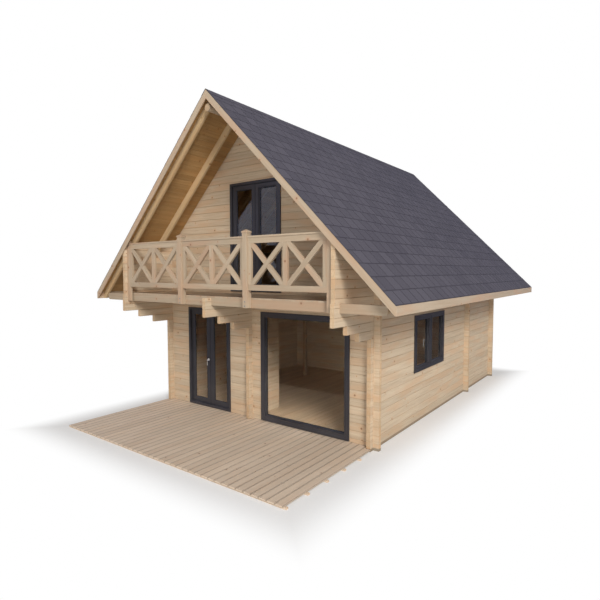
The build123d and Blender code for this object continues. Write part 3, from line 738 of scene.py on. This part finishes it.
def shingleTree():
    tree, given, result = newTree("shingleCover", Courses="Int", Tabs="Int", Seed="Int", Exposure="Float",
                                  TabWidth="Float", Length="Float", Start="Float", End="Float")
    column = line(tree, given["Courses"], join(given["Exposure"], 0, 0), join(given["Start"], 0.0, 0.0))
    row = line(tree, add(given["Tabs"], 1.0), join(0, given["TabWidth"], 0))
    # Every other course starts half a tab along
    odd = calc("MODULO", gnode(tree, "GeometryNodeInputIndex", {}), 2.0)
    shift = join(0.0, mul(mul(odd, 0.5), given["TabWidth"]), 0.0)
    column = gnode(tree, "GeometryNodeSetPosition", {"Geometry": column, "Offset": shift})
    spots = realize(tree, copies(tree, column, row))
    along = split(gnode(tree, "GeometryNodeInputPosition", {}))[1]
    past = calc("GREATER_THAN", along, add(given["Length"], 0.01))
    spots = gnode(tree, "GeometryNodeDeleteGeometry", {"Geometry": spots, "Selection": past})
    whole = realize(tree, layOut(tree, spots, given["Geometry"], given["Seed"]))
    # Tabs at the verges, the ridge and the eave are cut to the roof
    x, y, z = split(gnode(tree, "GeometryNodeInputPosition", {}))
    insideX = calc("MAXIMUM", calc("MINIMUM", x, given["End"]), 0.0)
    insideY = calc("MAXIMUM", calc("MINIMUM", y, given["Length"]), 0.0)
    whole = gnode(tree, "GeometryNodeSetPosition", {"Geometry": whole, "Position": join(insideX, insideY, z)})
    return finishTree(tree, result, whole, granules)


cover = shingleTree()
courseCount = int(coverLength / shingle["exposure"]) + 1
firstCourse = coverLength - (courseCount + 1) * shingle["exposure"]
for word, side in (("left", -1), ("right", 1)):
    start = roofLow.y if side > 0 else roofHigh.y
    place = slopeFrame(side, start) @ Matrix.Translation((0, 0, -coverThick))
    mesh = grow(word + "Shingles", cover, place, tabMesh(), Courses=courseCount, Tabs=shingle["tabs"],
                Exposure=shingle["exposure"], TabWidth=tabWidth, Length=roofLength, Start=firstCourse,
                End=coverLength, Seed=shingle["seed"] + side)
    keep(word + "Shingles", mesh, granules, "shingle", ["shingles"] if side > 0 else ())
# A strip under the first course closes the slots at the eave
starter = {"wide": shingle["exposure"] + 0.02, "thick": 0.0020, "back": 0.0003, "sunk": 0.0011}
sticks = startSticks()
for side in (-1, 1):
    down, out = slopeWays(side)
    middle = Vector((0, 0, ridgeTop)) - out * (coverThick - starter["sunk"])
    middle += down * (coverLength - starter["wide"] / 2 - starter["back"])
    addStick(sticks, (middle.x, roofLow.y, middle.z), (middle.x, roofHigh.y, middle.z), starter["wide"],
             starter["thick"], down)
finish("starterStrips", sticks, granules, "shingle")
print("shingles laid")


# Railing: posts with caps, rails, uprights and crossed braces, the second brace of each cross in two parts that end
# at the first
railing = {"post": 0.100, "rail": 0.090, "upright": 0.0675, "brace": 0.080, "thick": 0.045, "cap": 0.118,
           "capHeight": 0.026, "point": 0.036, "hand": 0.028, "handWidth": 0.070, "apart": 1.587, "spare": 0.1,
           "halved": 0.0004, "thinner": 0.002}
postsLow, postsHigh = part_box("railing_posts")
panelLow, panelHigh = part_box("railing_panels")
postY = (postsLow.y + postsHigh.y) / 2
postTop = postsHigh.z - railing["capHeight"] - railing["point"]
innerPost = railing["apart"] / 2
endPost = panelHigh.x + railing["post"] / 2


def addCap(sticks, x):
    # Square cap with a low point
    place = sticks.verts.layers.float_vector["grainPlace"]
    tone = sticks.verts.layers.float["tone"]
    half = railing["cap"] / 2
    shift = Vector((dice.uniform(0, 80), 0, 0))
    ownTone = dice.random()
    square = [(x + a * half, postY + b * half) for a, b in ((-1, -1), (1, -1), (1, 1), (-1, 1))]
    rings = [[sticks.verts.new((*corner, z)) for corner in square] for z in (postTop, postTop + railing["capHeight"])]
    peak = sticks.verts.new((x, postY, postsHigh.z - 0.0005))
    skin(sticks, rings)
    sticks.faces.new(rings[0][::-1])
    for here in range(4):
        sticks.faces.new([rings[1][here - 1], rings[1][here], peak])
    for vert in (*rings[0], *rings[1], peak):
        vert[place] = vert.co + shift
        vert[tone] = ownTone


sticks = startSticks()
for place, depth in ((innerPost, railing["post"]), (endPost, railing["thick"])):
    for side in (-1, 1):
        x = side * place
        cuts = [((0, postY, soffitRidge - 0.001), (side, 0, 1))] if place == endPost else []
        addStick(sticks, (x, postY, postsLow.z), (x, postY, postTop), railing["post"], depth, (1, 0, 0), cuts)
        if place == innerPost:
            addCap(sticks, x)
finish("railingPosts", sticks, timber, "log_wood", ["railing_posts"], ease=0.003)

sticks = startSticks()
thick, upright = railing["thick"], railing["upright"]
half, railHalf = railing["post"] / 2, railing["rail"] / 2
topRail = panelHigh.z - railing["hand"]
zLow, zHigh = panelLow.z + railing["rail"], topRail - railing["rail"]
acrossBars = [(zLow - railHalf, railing["rail"], thick), (zHigh + railHalf, railing["rail"], thick),
              (topRail + railing["hand"] / 2, railing["hand"], railing["handWidth"])]
for low, high in ((-endPost + half, -innerPost - half), (-innerPost + half, innerPost - half),
                  (innerPost + half, endPost - half)):
    middle = (low + high) / 2
    for z, width, depth in acrossBars:
        addStick(sticks, (low, postY, z), (high, postY, z), width, depth, (0, 0, 1))
    for x, width in ((low + upright / 2, upright), (middle, railing["rail"]), (high - upright / 2, upright)):
        addStick(sticks, (x, postY, zLow), (x, postY, zHigh), width, thick, (1, 0, 0))
    for left, right in ((low + upright, middle - railHalf), (middle + railHalf, high - upright)):
        edges = [((left, 0, 0), (-1, 0, 0)), ((right, 0, 0), (1, 0, 0)), ((0, 0, zLow), (0, 0, -1)),
                 ((0, 0, zHigh), (0, 0, 1))]
        foot, head = Vector((left, postY, zLow)), Vector((right, postY, zHigh))
        rise = (head - foot).normalized()
        spare = rise * railing["spare"]
        addStick(sticks, foot - spare, head + spare, railing["brace"], thick, (0, 0, 1), edges)
        # The other brace is in two parts that end at the first one
        lean = Vector((-rise.z, 0, rise.x))
        centre = (foot + head) / 2
        foot, head = Vector((right, postY, zLow)), Vector((left, postY, zHigh))
        spare = (head - foot).normalized() * railing["spare"]
        for start, end in ((foot - spare, centre), (centre, head + spare)):
            keepSide = lean if (start + end - centre * 2).dot(lean) > 0 else -lean
            plane = (centre + keepSide * (railing["brace"] / 2 + railing["halved"]), -keepSide)
            addStick(sticks, start, end, railing["brace"], thick - railing["thinner"], (0, 0, 1), [*edges, plane])
finish("railingPanels", sticks, timber, "log_wood", ["railing_panels"], ease=0.002)
print("railing made")


# Heads of the screws in the terrace and of the bolts in the railing posts
screws = {"radius": 0.0042, "height": 0.0008, "inset": 0.022, "sunk": 0.0003}
bolts = {"radius": 0.011, "height": 0.006, "apart": 0.07, "up": 0.03, "sunk": 0.0005}
bearers = {"width": 0.045, "step": 0.450}


def discMesh(sizes):
    disc = bmesh.new()
    rings = [(1.0, 0.0), (1.0, 0.45), (0.72, 1.0)]
    loops = [[disc.verts.new((x, y, share * sizes["height"])) for x, y in circle(12, sizes["radius"] * wide)]
             for wide, share in rings]
    skin(disc, loops, capped=True)
    return meshFrom("disc", disc)


def gridTree():
    # The host's own mesh repeated over a grid in the XY plane
    tree, given, result = newTree("screwGrid", Across="Int", Along="Int", Seed="Int", StepX="Float", StepY="Float")
    row = line(tree, given["Across"], join(given["StepX"], 0.0, 0.0))
    column = line(tree, given["Along"], join(0.0, given["StepY"], 0.0))
    spots = realize(tree, copies(tree, column, row))
    turned = join(0.0, 0.0, randomOf(tree, 0.0, 6.28, given["Seed"]))
    return finishTree(tree, result, realize(tree, copies(tree, spots, given["Geometry"], turned)), zinc)


screwGrid = gridTree()
bearerLow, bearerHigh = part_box("terrace_bearers")
bearerCount = int(round((bearerHigh.y - bearerLow.y - bearers["width"]) / bearers["step"])) + 1
for word, shift in (("left", screws["inset"]), ("right", deckPitch - screws["inset"])):
    place = Matrix.Translation((deckLow.x + shift, bearerLow.y + bearers["width"] / 2, deckHigh.z - screws["sunk"]))
    mesh = grow(word + "Screws", screwGrid, place, discMesh(screws), Across=terrace["count"], Along=bearerCount,
                StepX=deckPitch, StepY=bearers["step"], Seed=4)
    keep(word + "Screws", mesh, zinc, "handle_metal")
place = Matrix.Translation((-innerPost, postY - railing["post"] / 2 + bolts["sunk"], beamLow.z + bolts["up"]))
place @= Matrix.Rotation(math.radians(90), 4, "X")
mesh = grow("bolts", screwGrid, place, discMesh(bolts), Across=2, Along=2, StepX=2 * innerPost,
            StepY=bolts["apart"], Seed=2)
keep("postBolts", mesh, zinc, "handle_metal")
print("screws set")


# Ridge caps: bent tabs that lap each other along the ridge
# Among these is the width of the painted shadow band at each cap's lower end
caps = {"count": 66, "reach": 0.14, "thick": 0.0024, "round": 0.012, "lap": 0.0016, "shadowBand": 0.006, "sunk": 0.0006,
        "gap": 0.001}


def capMesh(length):
    # Points from the left foot over the rounded top to the right foot, and the way out at each
    turn = caps["round"]
    centre = ridgeTop - caps["sunk"] - turn
    side = caps["reach"] * slopeRoot
    foot = centre + turn / slopeRoot - side
    bend = [(math.cos(angle), math.sin(angle)) for angle in (math.radians(135 - step * 15) for step in range(7))]
    points = [(-side, foot), *((turn * a, centre + turn * b) for a, b in bend), (side, foot)]
    ways = [bend[0], *bend, bend[-1]]
    tab = bmesh.new()
    shadowBand = tab.verts.layers.float.new("shadowBand")
    loops = []
    for y, sink in ((0.0, 0.0), (caps["shadowBand"], 0.0), (length, caps["lap"])):
        outer, inner = ([tab.verts.new((x - a * deep, y, z - b * deep)) for (x, z), (a, b) in zip(points, ways)]
                        for deep in (sink, sink + caps["thick"]))
        loops.append(outer + inner[::-1])
    # The cap's lower end carries a painted shadow band
    for vert in loops[0]:
        vert[shadowBand] = 1.0
    skin(tab, loops)
    last = len(loops[0]) - 1
    for loop in (loops[0], loops[-1]):
        for here in range(last // 2):
            tab.faces.new([loop[here], loop[here + 1], loop[last - 1 - here], loop[last - here]])
    return meshFrom("cap", tab)


def capTree():
    tree, given, result = newTree("ridgeCaps", Count="Int", Seed="Int", Step="Float")
    row = line(tree, given["Count"], join(0.0, given["Step"], 0.0))
    return finishTree(tree, result, realize(tree, layOut(tree, row, given["Geometry"], given["Seed"])), granules)


capStep = roofLength / (caps["count"] + 1)
mesh = grow("ridgeCaps", capTree(), Matrix.Translation((0, roofLow.y, 0)), capMesh(2 * capStep - caps["gap"]),
            Count=caps["count"], Step=capStep, Seed=8)
keep("ridgeCaps", mesh, granules, "shingle")
print("ridge capped")


# Doors and windows: mouldings, glazing beads and gaskets swept round rectangles
trims = {"moulding": 0.040, "proud": 0.005, "bead": 0.014, "beadDepth": 0.012, "gasket": 0.004, "face": 0.095,
         "mullion": 0.150, "doorFace": 0.050, "stile": 0.080, "meeting": 0.190, "sash": 0.050, "leafProud": 0.009,
         "sashProud": 0.006, "gap": 0.003, "ease": 0.002, "split": 0.0005, "halfPane": 0.010, "leafBack": 0.025}
sunk = -0.001
mouldingProfile = [(0.0005, sunk), (0.0005, 0.003), (0.003, trims["proud"]),
                   (trims["moulding"] - 0.006, trims["proud"]), (trims["moulding"], sunk)]
beadProfile = [(sunk, sunk), (sunk, trims["beadDepth"]), (0.003, trims["beadDepth"]), (0.008, 0.010),
               (trims["bead"], 0.003), (trims["bead"], sunk)]
gasketProfile = [(trims["bead"] - 0.001, sunk), (trims["bead"] - 0.001, 0.0022),
                 (trims["bead"] + trims["gasket"], 0.0012), (trims["bead"] + trims["gasket"], sunk)]
# The ways right, up and out of each face
facings = {"front": ((1, 0, 0), (0, 0, 1), (0, -1, 0)), "back": ((1, 0, 0), (0, 0, 1), (0, 1, 0)),
           "side": ((0, 1, 0), (0, 0, 1), (1, 0, 0)), "inside": ((0, 1, 0), (0, 0, 1), (-1, 0, 0))}


def raised(width, height):
    # Profile of a leaf or a sash that stands proud of its frame, with eased edges
    gap, ease = trims["gap"], trims["ease"]
    return [(gap, sunk), (gap, height - ease), (gap + ease, height), (width - ease, height), (width, height - ease),
            (width, sunk)]


def addRing(trim, plane, facing, rect, profile):
    # A closed profile of (inset, height) swept round a rectangle on a plane, with mitred corners
    right, up, out = (Vector(way) for way in facings[facing])
    base = Vector([abs(part) * plane for part in out])
    left, low, far, high = rect
    loops = [[trim.verts.new(base + right * (u + a * inset) + up * (v + b * inset) + out * height)
              for inset, height in profile]
             for u, v, a, b in ((left, low, 1, 1), (far, low, -1, 1), (far, high, -1, -1), (left, high, 1, -1))]
    skin(trim, loops, closed=True)


def addGlazing(beads, gaskets, rects, faces):
    for rect in rects:
        for plane, facing in faces:
            addRing(beads, plane, facing, rect, beadProfile)
            addRing(gaskets, plane, facing, rect, gasketProfile)


def rectOf(node, axis, inset=0.0):
    low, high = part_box(node)
    return (low[axis] + inset, low.z + inset, high[axis] - inset, high.z - inset)


sashes, mouldings, beads, gaskets = (bmesh.new() for trim in range(4))
for node in ("door_frame", "picture_window_frame", "balcony_door_frame"):
    addRing(mouldings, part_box(node)[0].y, "front", rectOf(node, 0), mouldingProfile)
sideLow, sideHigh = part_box("side_window_frame")
addRing(mouldings, sideHigh.x, "side", rectOf("side_window_frame", 1), mouldingProfile)

# Fixed panes: the picture window, the balcony door's two and the side window's two
leafLeft, leafLow, leafRight, leafHigh = rectOf("balcony_door_frame", 0, trims["doorFace"])
lowPane, highPane = leafLow + trims["stile"], leafHigh - trims["stile"]
frontPanes = [rectOf("picture_window_frame", 0, trims["face"]),
              (leafLeft + trims["stile"], lowPane, -trims["meeting"] / 2, highPane),
              (trims["meeting"] / 2, lowPane, leafRight - trims["stile"], highPane)]
nearY, lowLight, farY, highLight = rectOf("side_window_frame", 1, trims["face"])
middleY = (nearY + farY) / 2
sidePanes = [(nearY, lowLight, middleY - trims["mullion"] / 2, highLight),
             (middleY + trims["mullion"] / 2, lowLight, farY, highLight)]
sideGlass = houseSide - wallThickness / 2
glassLow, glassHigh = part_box("left_door_glass")
addGlazing(beads, gaskets, frontPanes, ((glassLow.y, "front"), (glassHigh.y, "back")))
addGlazing(beads, gaskets, sidePanes,
           ((sideGlass + trims["halfPane"], "side"), (sideGlass - trims["halfPane"], "inside")))

# Raised leaves on the balcony door and raised sashes on the side window, which do not open here
for left, right in ((leafLeft, -trims["split"]), (trims["split"], leafRight)):
    addRing(sashes, facade + trims["leafBack"], "front", (left, leafLow, right, leafHigh),
            raised(trims["stile"], trims["leafProud"]))
sash = trims["sash"]
for left, low, right, high in sidePanes:
    for plane, facing in ((sideHigh.x, "side"), (sideLow.x, "inside")):
        addRing(sashes, plane, facing, (left - sash, low - sash, right + sash, high + sash),
                raised(sash, trims["sashProud"]))
finish("windowSashes", sashes, paint, "dark_paint")
finish("casingMouldings", mouldings, paint, "dark_paint")
finish("glazingBeads", beads, paint, "dark_paint")
finish("gaskets", gaskets, rubber, "dark_paint")
for word in ("left", "right"):
    low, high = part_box(word + "_door_glass")
    beads, gaskets = bmesh.new(), bmesh.new()
    addGlazing(beads, gaskets, [rectOf(word + "_door_glass", 0)], ((low.y, "front"), (high.y, "back")))
    finish(word + "LeafBeads", beads, paint, "dark_paint", rider=word + "_leaf")
    finish(word + "LeafGaskets", gaskets, rubber, "dark_paint", rider=word + "_leaf")
print("doors and windows trimmed")


# Handles: a round rose with its lever on the door, and a small one inside the side window
lever = {"radius": 0.0085, "bend": 0.014, "top": 0.009, "front": 0.0075, "leafStep": 0.009, "stand": 0.020,
         "start": 0.0006, "end": 0.001, "roseBack": 0.0004,
         "grip": [(0.3, (0.0087, 0.0062)), (0.6, (0.0087, 0.0062)), (0.85, (0.0087, 0.0062)),
                  (0.95, (0.0072, 0.0052)), (1.0, (0.003, 0.002))],
         "rose": [(0.0100, 0.0), (0.0255, 0.0), (0.0255, 0.0065), (0.0215, 0.0103), (0.0100, 0.0103)]}
# The catch: disc as radius and height; grip as reach, drop, width and depth
catch = {"in": 0.006, "aside": 0.030, "disc": [(0.022, -0.002), (0.022, 0.006), (0.017, 0.009)],
         "grip": [(0, 0, 0.007, 0.007), (0.030, 0, 0.007, 0.007), (0.037, 0.004, 0.0085, 0.007),
                  (0.040, 0.014, 0.010, 0.0065), (0.040, 0.128, 0.0115, 0.006), (0.040, 0.135, 0.006, 0.003)]}


def addTube(tube, path, sizes):
    # Rounded bar swept along a path of points, with a width and a depth at each point
    points = [Vector(point) for point in path]
    loops = []
    for index, (point, (wide, deep)) in enumerate(zip(points, sizes)):
        ahead = points[min(index + 1, len(points) - 1)] - points[max(index - 1, 0)]
        turn = ahead.to_track_quat("Z", "Y")
        loops.append([tube.verts.new(point + turn @ Vector((wide * x, deep * y, 0))) for x, y in circle(16)])
    skin(tube, loops, capped=True, smooth=True)


leverLow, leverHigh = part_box("door_handle")
leafNear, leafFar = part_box("left_door_leaf")
leafFront = leafNear.y + lever["leafStep"]
leverX = (leverLow.x + leverHigh.x) / 2
leverZ = leverHigh.z - lever["top"]
tip = leverLow.y + lever["front"]
radius, bend = lever["radius"], lever["bend"]
path = [(leverX, y, leverZ) for y in (leafFront - lever["start"], leafFront - lever["stand"], tip + bend)]
sizes = [(radius, radius)] * 3
for step in range(1, 7):
    angle = math.radians(step * 15)
    path.append((leverX, tip + bend - bend * math.sin(angle), leverZ - bend + bend * math.cos(angle)))
    sizes.append((radius + 0.0002 * step, radius - 0.0003 * step))
for share, size in lever["grip"]:
    path.append((leverX, tip, leverZ - bend - (leverZ - bend - leverLow.z - lever["end"]) * share))
    sizes.append(size)
bar = bmesh.new()
addTube(bar, path, sizes)
addTube(bar, [(x, leafFar.y + leafFront - y, z) for x, y, z in path], sizes)
finish("doorLever", bar, metal, "handle_metal", ["door_handle"], rider="lever")

rose = bmesh.new()
loops = [[rose.verts.new((leverX + radius * x, leafFront - height + lever["roseBack"], leverZ + radius * z))
          for radius, height in lever["rose"]] for x, z in circle(32)]
skin(rose, loops, closed=True)
finish("leverRose", rose, metal, "handle_metal", rider="left_leaf", ease=0.0008)

bar = bmesh.new()
x, y, z = sideLow.x - catch["in"], middleY - trims["mullion"] / 2 + catch["aside"], (sideLow.z + sideHigh.z) / 2
addTube(bar, [(x - height, y, z) for radius, height in catch["disc"]],
        [(radius, radius) for radius, height in catch["disc"]])
addTube(bar, [(x - reach, y, z - drop) for reach, drop, *size in catch["grip"]],
        [size for reach, drop, *size in catch["grip"]])
finish("windowCatch", bar, metal, "handle_metal")
print("handles made")


# Floor, lamps, world and camera

def buildStage():
    reach = 60
    corners = [(-reach, -reach, 0), (reach, -reach, 0), (reach, reach, 0), (-reach, reach, 0)]
    mesh = bpy.data.meshes.new("stageFloor")
    mesh.from_pydata(corners, [], [(0, 1, 2, 3)])
    material, tree, shader = newMaterial("stagePaper")
    coat(shader, (0.86, 0.86, 0.86, 1), 1.0, 0.0)
    rays = tree.nodes.new("ShaderNodeLightPath").outputs
    seen = calc("MAXIMUM", rays["Is Camera Ray"], rays["Is Transmission Ray"])
    x, y, z = split(coordsOf(tree))
    away = calc("MAXIMUM", sub(absolute(x), houseSide + 0.1), sub(absolute(y), -deckLow.y))
    glow = tree.nodes.new("ShaderNodeEmission").outputs[0]
    white = addNode("MixShader", (mul(seen, fade(away, 0.0, 0.8, 0.15, 1.0)), shader.outputs[0], glow))[0]
    # What is glossy sees a dim brown ground
    dim = tree.nodes.new("ShaderNodeEmission")
    feed(dim.inputs["Color"], (0.045, 0.04, 0.042, 1))
    show(tree, rays["Is Glossy Ray"], white, dim.outputs[0])
    mesh.materials.append(material)
    addObject("stageFloor", mesh)


def buildWorld():
    # White to the eye, a soft even light on the house, and a dim blue sky in what is glossy
    world = bpy.data.worlds.new("studio")
    bpy.context.scene.world = world
    world.use_nodes = True
    tree = world.node_tree
    rays = tree.nodes.new("ShaderNodeLightPath").outputs
    seen = calc("MAXIMUM", rays["Is Camera Ray"], rays["Is Transmission Ray"])
    lit = blend(rays["Is Glossy Ray"], (0.355, 0.355, 0.365, 1), (0.66, 0.70, 1.0, 1))
    feed(tree.nodes["Background"].inputs["Color"], blend(seen, lit, (1, 1, 1, 1)))
    feed(tree.nodes["Background"].inputs["Strength"], 1.0)


def addLamp(name, place, target, size, power, tint):
    data = bpy.data.lights.new(name, "AREA")
    data.shape = "DISK"
    data.size = size
    data.energy = power
    data.color = tint
    lamp = addObject(name, data)
    lamp.location = place
    lamp.visible_glossy = False
    lamp.rotation_euler = (Vector(target) - Vector(place)).to_track_quat("-Z", "Y").to_euler()


lamps = {
    "key": {"place": (25, -21, 18), "target": (0, -1, 2), "size": 12, "power": 9350, "tint": (1.0, 0.985, 0.96)},
    "fill": {"place": (8, -29, 3), "target": (0, -1, 2), "size": 10, "power": 1250, "tint": (1.0, 0.95, 0.86)},
}
view = {"place": (5.921, -9.051, 2.856), "pitch": -3.509, "yaw": 36.586, "roll": 0.064, "lens": 28.058}

buildStage()
buildWorld()
for name, lamp in lamps.items():
    addLamp(name, **lamp)
camera = addObject("camera", bpy.data.cameras.new("camera"))
camera.location = view["place"]
camera.rotation_euler = [math.radians(angle) for angle in (90 + view["pitch"], view["roll"], view["yaw"])]
camera.data.lens = view["lens"]
camera.data.sensor_width = 36
camera.data.clip_end = 200
bpy.context.scene.camera = camera
bpy.context.scene.view_settings.view_transform = "Standard"
print("stage set")
